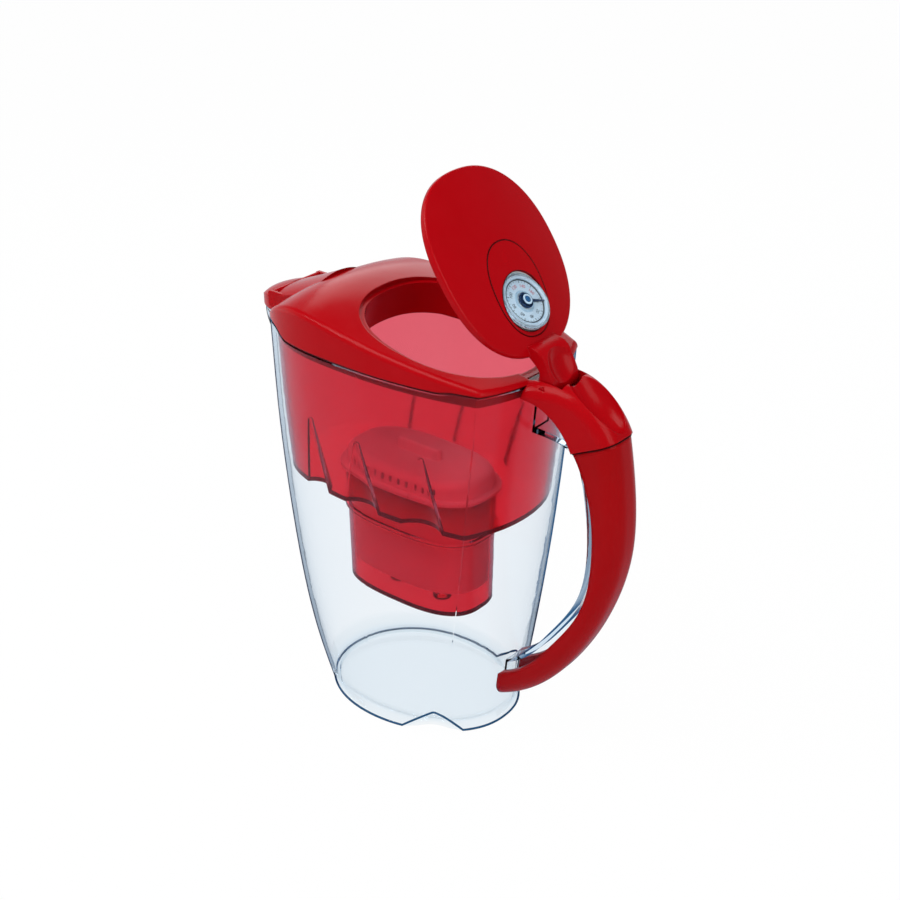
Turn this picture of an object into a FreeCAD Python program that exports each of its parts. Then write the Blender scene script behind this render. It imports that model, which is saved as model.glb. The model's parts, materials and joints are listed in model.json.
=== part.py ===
"""Water filter pitcher: clear jug, red lid and handle, funnel and filter cartridge.

Millimetres. Z is up, the table is z = 0, the handle points to +X and the spout to -X.
The flip lid is drawn open, as in the photo.
"""
import math
import os

import FreeCAD
import Part

V = FreeCAD.Vector
UP = V(0, 0, 1)
ACROSS = V(0, 1, 0)

# Jug plan at each level: height, nose x, rear x, half width, crease x, crease y, nose squareness
JUG_LEVELS = (
    (0.0, -53.0, 71.5, 50.8, 51.0, 37.0, 2.10),
    (14.0, -60.5, 73.5, 51.6, 54.5, 39.5, 2.15),
    (45.0, -71.0, 77.5, 52.9, 61.0, 43.0, 2.30),
    (95.0, -79.5, 82.5, 54.3, 69.0, 45.0, 2.50),
    (170.0, -86.5, 89.5, 56.0, 77.5, 45.6, 2.70),
    (250.0, -89.0, 96.5, 57.5, 84.8, 44.6, 2.80),
)
WIDEST_X = 6.0
JUG_WALL = 2.5
BASE_RECESS = 4.5
FLOOR_TOP = 7.2
FOOT_RING = 3.4
FLOOR_ROUND = 3.0

# Seam between the jug and the lid, and the funnel's flange that lies in it
SEAM_SIDE = 233.8
SEAM_NOSE = 239.0
SEAM_REAR = 235.4
FLANGE = 1.2
REST_GAP = 0.3

FUNNEL_GAP = 1.0
FUNNEL_WALL = 2.2
FUNNEL_FLOOR = 147.5
FUNNEL_TILT = 0.6
FUNNEL_DRAFT = 0.013
# Flutes of the funnel: X and Z of the point at the top, X and half width at the foot
FLUTES = ((-36.0, 190.0, -32.5, 11.0), (1.7, 187.0, 4.0, 14.2), (46.0, 190.0, 47.7, 14.7))
FLUTE_FOOT = 140.5
FLUTE_DEPTH = 7.0
FLUTE_TIP = 0.9

WELL_X = 5.2
WELL_LONG = 49.0
WELL_WIDE = 27.5
WELL_WALL = 2.0
WELL_BOTTOM = 72.0
WELL_POWER = 2.76
COLLAR_Z = 122.0
SEAT_DEPTH = 0.9
CUP_GAP = 1.1
CUP_WALL = 1.6
CUP_TAPER = 1.3
CUP_BOTTOM = 86.0
CUP_FLANGE = 1.8
CAP_HEIGHT = 11.2
OUTLETS = (-12.0, 22.0)

LID_WALL = 2.4
PLUG_BOTTOM = 228.0
# Roof of the lid: position along X, height on the middle line, drop at 57 mm to either side
ROOF = (
    (-100.0, 221.0, 7.6),
    (-84.0, 239.0, 7.4),
    (-70.0, 251.2, 7.0),
    (-56.0, 259.2, 6.6),
    (-42.0, 262.6, 6.2),
    (-24.0, 261.8, 5.6),
    (0.0, 257.7, 4.6),
    (40.0, 249.6, 2.6),
    (84.0, 240.6, 0.8),
    (112.0, 234.8, 0.4),
)

HINGE_X = 103.6
HINGE_Z = 236.3
SHUT_ANGLE = 11.7
OPEN_ANGLE = 55.5
PIN_RADIUS = 2.0
EGG_MID = 72.2
EGG_LONG = 54.0
EGG_WIDE = 47.1
EGG_POWER = 2.32
FLIP_CROWN = 4.4
FLIP_SPHERE = 330.0
FLIP_RIM = -3.2
NECK_HALF = 11.8

# Spout: sections of the hood and of the flap, as x, half width, top; the hinge of the flap
HOOD_BASE = 236.0
HOOD = ((-56.0, 25.0, 261.5), (-74.0, 22.6, 253.4), (-89.6, 21.5, 246.8))
FLAP_BASE = 232.1
FLAP = (
    (-92.0, 19.0, 246.2), (-99.0, 17.2, 244.2), (-105.0, 14.2, 241.8), (-110.0, 9.6, 239.0), (-112.6, 5.0, 236.6),
)
SPOUT_HINGE_X = -91.7
SPOUT_HINGE_Z = 244.2
SPOUT_BARREL = 1.8
SPOUT_PIN = 1.1
EAR_INNER = 19.4
EAR_OUTER = 21.6

# Tail of the lid over the handle, in side view and in plan
TAIL_BACK = ((88.0, 237.5), (102.0, 240.4), (117.5, 239.6), (133.8, 231.6), (146.8, 215.9))
TAIL_FRONT = ((88.0, 230.0), (103.0, 228.0), (115.5, 218.0), (123.2, 204.9))
TAIL_ROUND = 9.0
TAIL_HALF = ((84.0, 22.5), (104.0, 18.8), (120.0, 16.0), (134.0, 14.2), (150.0, 13.5))

# Counter on the flip lid, in the lid's own frame
DIAL_X = -47.0
DIAL_TILT = -8.0
DIAL_RADIUS = 16.4
PLATE_X = -54.6
PLATE_LONG = 27.0
PLATE_WIDE = 19.5
PLATE_THICK = 1.2
PLATE_GAP = 0.4
RATCHET_TEETH = 36
CASE_BOTTOM = -11.0
WHEEL_LOW = -7.6
SHAFT = 1.5
PAWL_X = 13.6
PAWL_PIN = 1.2
POINTER_ANGLE = 70.0

# Handle stations in side view: outer back (x, z) and inner edge of the cover (x, z)
HANDLE = (
    ((146.6, 215.4), (123.0, 204.4)),
    ((152.0, 181.0), (134.5, 178.5)),
    ((152.5, 143.5), (138.0, 143.5)),
    ((143.0, 106.0), (133.0, 111.0)),
    ((124.5, 69.0), (113.5, 77.5)),
    ((101.5, 40.5), (93.0, 52.5)),
    ((66.0, 19.0), (64.0, 37.0)),
)
HANDLE_HALF = 13.5
COVER_WALL = 3.4
COVER_ROUND = 10.5
CORE_EXPOSED = 6.4
CORE_HALF = 8.2
CORE_WALL = 2.5
CORE_TOP_SINK = 3.5


def edge(a, b):
    return Part.makeLine(a, b)


def arc(a, b, c):
    return Part.Arc(a, b, c).toShape()


def box(x0, x1, y0, y1, z0, z1):
    return Part.makeBox(x1 - x0, y1 - y0, z1 - z0, V(x0, y0, z0))


def rod(start, end, radius):
    axis = end - start
    return Part.makeCylinder(radius, axis.Length, start, axis)


def loft(wires, ruled=False):
    return Part.makeLoft(wires, True, ruled, False)


def both_sides(shape):
    return shape.fuse(shape.mirror(V(0, 0, 0), ACROSS))


def level(z, rows=JUG_LEVELS):
    """The row of a table at a height between its own heights, on a smooth curve."""
    count = len(rows)
    i = max(k for k in range(count - 1) if k == 0 or rows[k][0] <= z)
    a, b = rows[i], rows[i + 1]
    span = b[0] - a[0]
    t = (z - a[0]) / span
    before, after = rows[max(i - 1, 0)], rows[min(i + 2, count - 1)]
    values = []
    for k in range(1, len(a)):
        slope_a = (b[k] - before[k]) / (b[0] - before[0]) * span
        slope_b = (after[k] - a[k]) / (after[0] - a[0]) * span
        curve = (
            (2 * t**3 - 3 * t**2 + 1) * a[k]
            + (t**3 - 2 * t**2 + t) * slope_a
            + (3 * t**2 - 2 * t**3) * b[k]
            + (t**3 - t**2) * slope_b
        )
        values.append(curve)
    return values


def plan_wire(z, inset=0.0, at=None):
    """Outline of the jug at a height, moved inwards, drawn at height `at`."""
    nose, rear, half, bend_x, bend_y, power = level(z)
    nose += inset
    rear -= inset
    half -= inset
    bend_x -= 0.72 * inset
    bend_y -= 0.84 * inset
    top = z if at is None else at
    run, drop = bend_x - WIDEST_X, half - bend_y
    radius = (run**2 + drop**2) / (2 * drop)
    quarter, flank, back = [], [], []
    for i in range(7):
        a = math.radians(15 * i)
        x = WIDEST_X - (WIDEST_X - nose) * math.cos(a) ** (2 / power)
        quarter.append((x, half * math.sin(a) ** (2 / power)))
    quarter[-1] = (WIDEST_X, half)
    for i in range(5):
        x = run * i / 4
        flank.append((WIDEST_X + x, half - radius + math.sqrt(radius**2 - x**2)))
    rise = rear - bend_x
    bow = (bend_y**2 + rise**2) / (2 * rise)
    for i in range(5):
        y = bend_y * (i / 2 - 1)
        back.append((rear - bow + math.sqrt(bow**2 - y**2), y))
    near = [smooth([(x, -y) for x, y in line], top) for line in (quarter, flank)]
    far = [smooth(line, top) for line in (quarter, flank)]
    return Part.Wire([near[0], near[1], smooth(back, top), far[1], far[0]])


def smooth(points, z):
    """Level smooth edge through points, evenly timed so that stacked edges match."""
    curve = Part.BSplineCurve()
    count = len(points) - 1
    curve.interpolate(
        Points=[V(x, y, z) for x, y in points], Parameters=[i / count for i in range(count + 1)]
    )
    return curve.toShape()


def even(low, high, count):
    """Evenly spaced heights: uneven ones make a loft wavy."""
    return [low + (high - low) * i / (count - 1) for i in range(count)]


def plan_loft(low, high, count, inset):
    """Solid that follows the jug's outline between two heights."""
    return loft([plan_wire(z, inset) for z in even(low, high, count)])


def plan_prism(z, inset, low, high):
    return Part.Face(plan_wire(z, inset, low)).extrude(V(0, 0, high - low))


def slanted_cone(foot, foot_radius, tip, tip_radius):
    """Cone between two level circles, its tip off to one side."""
    low = Part.Wire(Part.makeCircle(foot_radius, foot, UP))
    high = Part.Wire(Part.makeCircle(tip_radius, tip, UP))
    return loft([low, high], True)


def above_seam(lift):
    """Everything over the wavy seam line, moved up by `lift`."""
    def swing(x0, z0, x1, z1):
        curve = Part.BSplineCurve()
        mid = V((x0 + x1) / 2, 0, (z0 + z1) / 2 + lift)
        curve.interpolate(
            Points=[V(x0, 0, z0 + lift), mid, V(x1, 0, z1 + lift)],
            InitialTangent=V(1, 0, 0),
            FinalTangent=V(1, 0, 0),
        )
        return curve.toShape()

    side, nose, rear = SEAM_SIDE + lift, SEAM_NOSE + lift, SEAM_REAR + lift
    edges = [
        edge(V(-160, 0, nose), V(-66, 0, nose)),
        swing(-66, SEAM_NOSE, -50, SEAM_SIDE),
        edge(V(-50, 0, side), V(58, 0, side)),
        swing(58, SEAM_SIDE, 70, SEAM_REAR),
        edge(V(70, 0, rear), V(180, 0, rear)),
        edge(V(180, 0, rear), V(180, 0, 330)),
        edge(V(180, 0, 330), V(-160, 0, 330)),
        edge(V(-160, 0, 330), V(-160, 0, nose)),
    ]
    face = Part.Face(Part.Wire(edges))
    face.translate(V(0, -90, 0))
    return face.extrude(V(0, 180, 0))


def trough_wire(x, half, top, bottom):
    """U-shaped section of the spout at one x."""
    bend = bottom + 0.35 * (top - bottom)
    a, b = V(x, -half, top), V(x, half, top)
    c, d = V(x, half, bend), V(x, -half, bend)
    return Part.Wire([edge(a, b), edge(b, c), arc(c, V(x, 0, bottom), d), edge(d, a)])


def spline(points):
    """Smooth edge in side view through (x, z) points."""
    curve = Part.BSplineCurve()
    curve.interpolate([V(x, 0, z) for x, z in points])
    return curve.toShape()


def band(back, front, half):
    """Bar between two smooth curves in side view, `half` to either side."""
    start = edge(V(front[0][0], 0, front[0][1]), V(back[0][0], 0, back[0][1]))
    end = edge(V(back[-1][0], 0, back[-1][1]), V(front[-1][0], 0, front[-1][1]))
    face = Part.Face(Part.Wire([start, spline(back), end, spline(front)]))
    face.translate(V(0, -half, 0))
    return face.extrude(V(0, 2 * half, 0))


def toward(start, end, distance):
    """Point at a distance from start, on the way to end."""
    length = math.hypot(end[0] - start[0], end[1] - start[1])
    t = distance / length
    return (start[0] + (end[0] - start[0]) * t, start[1] + (end[1] - start[1]) * t)


# Root of the clear channel at the top of the jug's rear wall
CORE_ROOTS = (((84.0, 221.0), (84.0, 205.5)), ((108.0, 223.0), (104.0, 205.0)))


def core_band(back_gap, half, inner_shift):
    """Bar along the handle, back_gap under the cover's back, inner edge moved outwards."""
    back = [toward(o, i, back_gap - 3.0) for o, i in CORE_ROOTS]
    front = [toward(i, o, inner_shift) for o, i in CORE_ROOTS]
    sinks = [CORE_TOP_SINK] + [0.0] * (len(HANDLE) - 1)
    back += [toward(o, i, back_gap + sink) for (o, i), sink in zip(HANDLE, sinks)]
    front += [toward(i, o, inner_shift - CORE_EXPOSED) for o, i in HANDLE]
    return band(back, front, half)


def make_jug():
    outer = plan_loft(0.0, 250.0, 11, 0.0)
    cavity = plan_loft(FLOOR_TOP, 250.0, 11, JUG_WALL)
    cavity = soft(cavity, FLOOR_ROUND, [e for e in cavity.Edges if e.CenterOfMass.z < FLOOR_TOP + 0.1])
    foot = V(85.1, -103.4, -0.01)
    tip = V(50.2, -43.6, 17.0)
    notch = both_sides(slanted_cone(foot, 79.3, tip, 1.0))
    notch_skin = both_sides(slanted_cone(foot, 79.3 + JUG_WALL, tip, 1.0 + JUG_WALL))
    lip = loft([
        trough_wire(-78, 21, 250, 196),
        trough_wire(-98, 17.5, 240, 213),
        trough_wire(-109, 9.5, 240, 222.5),
    ])
    lip_hollow = loft([
        trough_wire(-76, 18.5, 255, 199.5),
        trough_wire(-98, 15.3, 255, 215.5),
        trough_wire(-112, 5.2, 255, 227.0),
    ])
    core = core_band(COVER_WALL + 2 * REST_GAP, CORE_HALF, 0.0)
    channel = core_band(1.0, CORE_HALF - CORE_WALL, CORE_WALL)
    above_lip = box(-140, -83, -24, 24, 231.6, 300)
    body = outer.cut(notch).fuse([lip, core.cut(channel)])
    body = body.cut([cavity.cut(notch_skin), lip_hollow, above_seam(0.0), above_lip])
    body = body.cut(plan_prism(0, FOOT_RING, -1, BASE_RECESS))
    return body, outer


def make_cover(jug_outer):
    outer = band([o for o, i in HANDLE], [i for o, i in HANDLE], HANDLE_HALF)
    rounded = [e for e in outer.Edges if e.Length > 150 and e.CenterOfMass.x > 126]
    outer = outer.makeFillet(COVER_ROUND, rounded)
    hollow = core_band(COVER_WALL, CORE_HALF + 0.2, -6.0)
    return outer.cut([hollow, jug_outer])


def make_funnel():
    def wire(z, inset):
        return plan_wire(z, JUG_WALL + FUNNEL_GAP + (236 - z) * FUNNEL_DRAFT + inset)

    def half_space(z):
        block = box(-150, 150, -90, 90, z - 120, z)
        block.rotate(V(0, 0, z), ACROSS, FUNNEL_TILT)
        return block

    heights = even(130, 246, 5)
    outer = loft([wire(z, 0.0) for z in heights])
    inner = loft([wire(z, FUNNEL_WALL) for z in heights])
    def on_wall(x, z, out):
        ray = Part.makeLine(V(x, 0, z), V(x, -120, z))
        return ray.distToShape(wire(z, 0.0))[1][0][0] + V(0, -out, 0)

    flutes, skins = [], []
    for tip_x, tip_z, foot_x, half in FLUTES:
        radius = (half ** 2 + FLUTE_DEPTH ** 2) / (2 * FLUTE_DEPTH)
        foot = on_wall(foot_x, FLUTE_FOOT, radius - FLUTE_DEPTH)
        tip = on_wall(tip_x, tip_z, 0.0)
        flutes.append(both_sides(slanted_cone(foot, radius, tip, FLUTE_TIP)))
        skins.append(both_sides(slanted_cone(foot, radius + FUNNEL_WALL, tip, FLUTE_TIP + FUNNEL_WALL)))
    shell = outer.cut(flutes).cut(half_space(FUNNEL_FLOOR - FUNNEL_WALL))
    hollow = inner.cut(skins).cut(half_space(FUNNEL_FLOOR))
    shell = shell.cut(hollow).cut(above_seam(REST_GAP + FLANGE))
    ring = plan_prism(238, 0.9, 225, 250).cut(plan_prism(238, JUG_WALL + FUNNEL_GAP + 1.0, 224, 251))
    ring = ring.common(above_seam(REST_GAP)).cut(above_seam(REST_GAP + FLANGE))
    hood_room = box(-140, -60, -28, 28, HOOD_BASE - 0.6, 260)
    return shell.fuse(ring).cut(hood_room)


def roof_solid(drop):
    """Everything under the lid's crowned roof, lowered by `drop`."""
    wires = []
    for x in even(ROOF[0][0], ROOF[-1][0], 14):
        top, fall = level(x, ROOF)
        edge_z = top - fall * (80 / 57) ** 2 - drop
        a, b = V(x, -80, edge_z), V(x, 80, edge_z)
        c, d = V(x, 80, 190), V(x, -80, 190)
        wires.append(Part.Wire([arc(a, V(x, 0, top - drop), b), edge(b, c), edge(c, d), edge(d, a)]))
    return loft(wires)


def superellipse(long, wide, power, x, z, shift=0.0):
    """Closed smooth outline, level at height z, its wide end moved by `shift`."""
    points = []
    for i in range(24):
        a = 2 * math.pi * i / 24
        c, d = math.cos(a), math.sin(a)
        r = (abs(c) ** power + abs(d) ** power) ** (-1 / power)
        points.append(V(x + long * r * c, wide * r * d * (1 + shift * r * c), z))
    curve = Part.BSplineCurve()
    curve.interpolate(Points=points, PeriodicFlag=True)
    return Part.Wire(curve.toShape())


def oval(long, wide, low, high, x=WELL_X, power=WELL_POWER):
    return Part.Face(superellipse(long, wide, power, x, low)).extrude(V(0, 0, high - low))


def egg(grow, low, high):
    """Egg of the flip lid in its own frame: hinge at the origin, lid along -X."""
    wire = superellipse(EGG_LONG + grow, EGG_WIDE + grow, EGG_POWER, -EGG_MID, low, -0.02)
    return Part.Face(wire).extrude(V(0, 0, high - low))


def hinged(shape, angle):
    """Shape of the flip lid's own frame, placed at the hinge and turned up by an angle."""
    placed = shape.copy()
    placed.rotate(V(0, 0, 0), ACROSS, angle)
    placed.translate(V(HINGE_X, 0, HINGE_Z))
    return placed


def make_well(funnel):
    """Adds the oval cartridge well under the funnel's floor."""
    tube = loft([
        superellipse(WELL_LONG - 1.8, WELL_WIDE - 0.8, WELL_POWER, WELL_X, WELL_BOTTOM),
        superellipse(WELL_LONG, WELL_WIDE, WELL_POWER, WELL_X, FUNNEL_FLOOR + 4),
    ])
    bore = loft([
        superellipse(WELL_LONG - 1.8 - WELL_WALL, WELL_WIDE - 0.8 - WELL_WALL, WELL_POWER, WELL_X, WELL_BOTTOM + 2),
        superellipse(WELL_LONG - WELL_WALL, WELL_WIDE - WELL_WALL, WELL_POWER, WELL_X, FUNNEL_FLOOR + 10),
    ])
    collar = oval(WELL_LONG + 1.2, WELL_WIDE + 1.2, COLLAR_Z - 1.2, COLLAR_Z + 1.2)
    shape = funnel.fuse([tube, collar]).cut(bore)
    seat = oval(WELL_LONG + 4, WELL_WIDE + 4, FUNNEL_FLOOR + SEAT_DEPTH, FUNNEL_FLOOR + 8)
    outlets = [rod(V(x, 0, WELL_BOTTOM - 9), V(x, 0, WELL_BOTTOM + 6), 3.0) for x in OUTLETS]
    bosses = [rod(V(x, 0, WELL_BOTTOM - 4), V(x, 0, WELL_BOTTOM + 1), 5.5) for x in OUTLETS]
    return shape.cut(seat).fuse(bosses).cut(outlets)


def soft(shape, radius, edges):
    """Shape with the given edges rounded."""
    rounded = shape.makeFillet(radius, edges)
    return rounded


def hood_wire(x, half, top, base):
    shoulder = base + 0.7 * (top - base)
    a, b = V(x, -half, base), V(x, half, base)
    c, d = V(x, half, shoulder), V(x, -half, shoulder)
    return Part.Wire([edge(a, b), edge(b, c), arc(c, V(x, 0, top), d), edge(d, a)])


def hood_loft(rows, base, wall=0.0, rear=0.0, front=0.0):
    """Hood over the spout; with a wall it is the space inside, made longer at its rear and front."""
    wires = []
    for i, (x, half, top) in enumerate(rows):
        if i == 0:
            x += rear
        elif i == len(rows) - 1:
            x -= front
        wires.append(hood_wire(x, half - wall, top - wall, base))
    return loft(wires)


def ellipsoid(along, wide, high, middle, angle):
    """Ellipsoid about its middle, turned nose down by an angle."""
    stretch = FreeCAD.Matrix()
    stretch.scale(along, wide, high)
    shape = Part.makeSphere(1.0).transformGeometry(stretch)
    shape.rotate(V(0, 0, 0), ACROSS, angle)
    shape.translate(middle)
    return shape


def make_tail():
    """Tail of the lid: saddle over the handle channel with a thumb hollow."""
    body = band(TAIL_BACK, TAIL_FRONT, 30)
    far = Part.BSplineCurve()
    far.interpolate([V(x, y, 190) for x, y in TAIL_HALF])
    near = Part.BSplineCurve()
    near.interpolate([V(x, -y, 190) for x, y in TAIL_HALF])
    (x0, y0), (x1, y1) = TAIL_HALF[0], TAIL_HALF[-1]
    ends = [edge(V(x0, -y0, 190), V(x0, y0, 190)), edge(V(x1, -y1, 190), V(x1, y1, 190))]
    plan = Part.Face(Part.Wire([ends[0], far.toShape(), ends[1], near.toShape()]))
    body = body.common(plan.extrude(V(0, 0, 70)))
    long_edges = [e for e in body.Edges if e.Length > 50 and e.CenterOfMass.z > 229]
    body = soft(body, TAIL_ROUND, long_edges)
    return body.cut(ellipsoid(27.0, 11.5, 11.0, V(127.5, 0, 238.5), 45))


def make_lid():
    seam = REST_GAP + FLANGE + REST_GAP
    outer = plan_prism(246, 0.0, 226, 290).common(roof_solid(0.0))
    upright = [e for e in outer.Edges if e.CenterOfMass.x > 80 and abs(e.CenterOfMass.y) > 40 and e.Length < 20]
    outer = soft(outer, 5.0, upright)
    rim = [e for e in outer.Edges if e.BoundBox.ZMax > 236 and e.CenterOfMass.z > 236 and e.Length > 3]
    outer = soft(outer, 3.5, rim)
    hollow = plan_prism(246, LID_WALL, 220, 290).common(roof_solid(LID_WALL))
    shell = outer.common(above_seam(seam)).cut(hollow)
    deep = JUG_WALL + FUNNEL_GAP + FUNNEL_WALL + 0.6
    plug = plan_loft(PLUG_BOTTOM, 250, 3, deep).cut(plan_loft(PLUG_BOTTOM - 20, 250, 4, deep + 2.0))
    plug = plug.common(roof_solid(0.8))
    wall = hinged(egg(2.6, -24, 20), SHUT_ANGLE).common(roof_solid(0.0))
    wall = wall.common(plan_prism(246, 1.0, PLUG_BOTTOM, 290))
    under_seam = box(-150, 150, -90, 90, 200, 250).cut(above_seam(seam))
    wall = wall.cut(under_seam.cut(plan_loft(PLUG_BOTTOM - 5, 250, 4, deep)))
    opening = hinged(egg(0.6, FLIP_RIM - 0.4, 40), SHUT_ANGLE)
    throat = hinged(egg(-2.2, -60, 40), SHUT_ANGLE)
    hood = hood_loft(HOOD, HOOD_BASE)
    hood_space = hood_loft(HOOD, HOOD_BASE - 10, 2.2, 6.0, 6.0)
    jug_zone = plan_loft(190, 250, 4, -0.4).cut(above_seam(seam))
    lid = shell.fuse([plug, wall]).fuse(hood).fuse(make_tail().cut(jug_zone))
    slot_half = NECK_HALF + 0.6
    slots = [
        box(76, 97.2, -slot_half, slot_half, SEAM_REAR + seam - 0.2, 300),
        box(95.9, 114, -slot_half, slot_half, HINGE_Z - 7.9, 300),
    ]
    core_room = core_band(COVER_WALL + 0.2, CORE_HALF + 0.35, -0.4)
    pins = [rod(V(HINGE_X, -16.6, HINGE_Z), V(HINGE_X, 16.6, HINGE_Z), PIN_RADIUS + 0.05)]
    lid = lid.cut([opening, throat, hood_space] + slots + [core_room] + pins)
    ear_top = SPOUT_HINGE_Z + SPOUT_BARREL
    ear = box(SPOUT_HINGE_X - 2.4, -80, EAR_INNER, EAR_OUTER, HOOD_BASE, ear_top)
    ear = soft(ear, 1.6, [e for e in ear.Edges if e.CenterOfMass.x < SPOUT_HINGE_X - 2 and e.Length < 3])
    sockets = across(SPOUT_HINGE_X, SPOUT_HINGE_Z, EAR_INNER + 1.6, SPOUT_PIN + 0.05)
    return lid.fuse(both_sides(ear)).cut(sockets)


def across(x, z, half, radius):
    """Round bar along Y, to either side of the middle."""
    return rod(V(x, -half, z), V(x, half, z), radius)


def make_spout_flap():
    shell = hood_loft(FLAP, FLAP_BASE).cut(hood_loft(FLAP, FLAP_BASE - 5, 2.0, 2.0, -1.6))
    barrel = across(SPOUT_HINGE_X, SPOUT_HINGE_Z, EAR_INNER - REST_GAP, SPOUT_BARREL)
    pin = across(SPOUT_HINGE_X, SPOUT_HINGE_Z, EAR_INNER + 1.5, SPOUT_PIN)
    behind = box(SPOUT_HINGE_X, -60, -40, 40, FLAP_BASE - 10, 300)
    return shell.cut(behind).fuse([barrel, pin])


def dome(drop):
    """Ball under the flip lid's crowned top, lowered by `drop`."""
    return Part.makeSphere(FLIP_SPHERE, V(-EGG_MID, 0, FLIP_CROWN - drop - FLIP_SPHERE))


def in_dial(shape):
    """Shape of the dial's own frame, placed in the flip lid's frame."""
    placed = shape.copy()
    placed.rotate(V(0, 0, 0), ACROSS, DIAL_TILT)
    placed.translate(V(DIAL_X, 0, FLIP_CROWN - 0.6))
    return placed


def plate_oval(grow, low, high):
    return oval(PLATE_LONG + grow, PLATE_WIDE + grow, low, high, PLATE_X, 2.2)


def disc(radius, low, high, x=0.0, y=0.0):
    return Part.makeCylinder(radius, high - low, V(x, y, low))


def make_flip_lid():
    outer = egg(0.0, FLIP_RIM, 20).common(dome(0.0))
    rim = [e for e in outer.Edges if e.CenterOfMass.z > -1 and e.Length > 100]
    outer = soft(outer, 1.2, rim)
    shell = outer.cut(egg(-2.4, -20, 20).common(dome(2.2)))
    neck_side = (
        (-26.0, -1.2), (-22.5, 3.4), (-17.0, 7.0), (-8.0, 6.6), (1.0, 4.6), (4.8, 0.4), (3.4, -4.0),
        (-1.0, -5.6), (-4.6, -3.4), (-8.0, -0.2), (-16.0, -0.4),
    )
    curve = Part.BSplineCurve()
    curve.interpolate(Points=[V(x, 0, z) for x, z in neck_side], PeriodicFlag=True)
    face = Part.Face(Part.Wire(curve.toShape()))
    face.translate(V(0, -NECK_HALF, 0))
    neck = face.extrude(V(0, 2 * NECK_HALF, 0))
    scoop = ellipsoid(15.0, 12.4, 9.5, V(-6.5, 0, 12.5), 0)
    pins = rod(V(0, -16.2, 0), V(0, 16.2, 0), PIN_RADIUS)
    lid = shell.fuse(neck.cut(scoop)).fuse(pins)
    return lid.cut([
        plate_oval(PLATE_GAP, FLIP_CROWN - 1.0 - 12, 20).cut(dome(PLATE_THICK + 0.05)),
        plate_oval(-1.1, -20, 20),
        in_dial(disc(DIAL_RADIUS + 1.3, CASE_BOTTOM - 2, 2)).common(dome(PLATE_THICK)),
    ])


def make_counter():
    """Counter pieces in the flip lid's frame."""
    pieces = {}
    under = dome(PLATE_THICK + 0.05)
    plate = plate_oval(0.0, -6, 20).common(dome(0.0)).cut(dome(PLATE_THICK))
    pieces["indicator_plate"] = plate.cut(in_dial(disc(DIAL_RADIUS + 0.1, -10, 20)))
    tube = disc(DIAL_RADIUS + 1.2, CASE_BOTTOM, 6).cut(disc(DIAL_RADIUS + 0.1, CASE_BOTTOM - 1, 7))
    seat = disc(DIAL_RADIUS + 0.2, -3.4, -2.2).cut(disc(DIAL_RADIUS - 1.6, -5, 0))
    pieces["indicator_case"] = in_dial(tube.fuse(seat)).common(under)
    cover = disc(DIAL_RADIUS + 1.2, CASE_BOTTOM - 1.4, CASE_BOTTOM).fuse([
        disc(3.2, CASE_BOTTOM, WHEEL_LOW - 0.3), disc(PAWL_PIN, CASE_BOTTOM, WHEEL_LOW + 2.6, -PAWL_X, 0),
        disc(2.2, CASE_BOTTOM, WHEEL_LOW - 0.3, -PAWL_X, 0),
    ])
    pieces["case_cover"] = in_dial(cover.cut(disc(SHAFT + 0.05, CASE_BOTTOM - 0.4, 0)))
    pieces["indicator_dial"] = in_dial(disc(DIAL_RADIUS, -2.2, -1.4).cut(disc(1.9, -3, 0)))
    cap = Part.makeSphere(45.0, V(0, 0, 3.0 - 45.0)).common(disc(DIAL_RADIUS, -1.4, 6))
    room = Part.makeSphere(44.0, V(0, 0, 2.0 - 44.0)).common(disc(DIAL_RADIUS - 1.2, -1.5, 6))
    pieces["indicator_lens"] = in_dial(cap.cut(room))
    hand = Part.Face(Part.makePolygon([
        V(0, -1.1, -0.7), V(13.0, -0.35, -0.7), V(13.0, 0.35, -0.7), V(0, 1.1, -0.7), V(0, -1.1, -0.7),
    ])).extrude(V(0, 0, 0.7))
    pointer = disc(SHAFT, CASE_BOTTOM - 0.2, 0.9).fuse([disc(3.4, -0.7, 1.2), hand])
    pointer.rotate(V(0, 0, 0), UP, POINTER_ANGLE)
    pieces["pointer"] = in_dial(pointer)
    rim = []
    for i in range(RATCHET_TEETH):
        a, b = 2 * math.pi * i / RATCHET_TEETH, 2 * math.pi * (i + 0.92) / RATCHET_TEETH
        rim.append(V(10.0 * math.cos(a), 10.0 * math.sin(a), WHEEL_LOW))
        rim.append(V(10.9 * math.cos(b), 10.9 * math.sin(b), WHEEL_LOW))
    wheel = Part.Face(Part.makePolygon(rim + rim[:1])).extrude(V(0, 0, 2.0))
    pieces["ratchet_wheel"] = in_dial(wheel.cut(disc(SHAFT, WHEEL_LOW - 1, WHEEL_LOW + 3)))
    finger = ((-15.2, 0), (-13.6, -2.1), (-9.4, -7.9), (-8.9, -7.5), (-12.3, -1.2), (-15.2, 0))
    arm = Part.Face(Part.makePolygon([V(x, y, WHEEL_LOW) for x, y in finger])).extrude(V(0, 0, 2.0))
    pawl = disc(2.1, WHEEL_LOW, WHEEL_LOW + 2, -PAWL_X, 0).fuse(arm)
    pieces["drive_pawl"] = in_dial(pawl.cut(disc(PAWL_PIN + 0.05, WHEEL_LOW - 1, WHEEL_LOW + 3, -PAWL_X, 0)))
    return pieces


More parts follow.
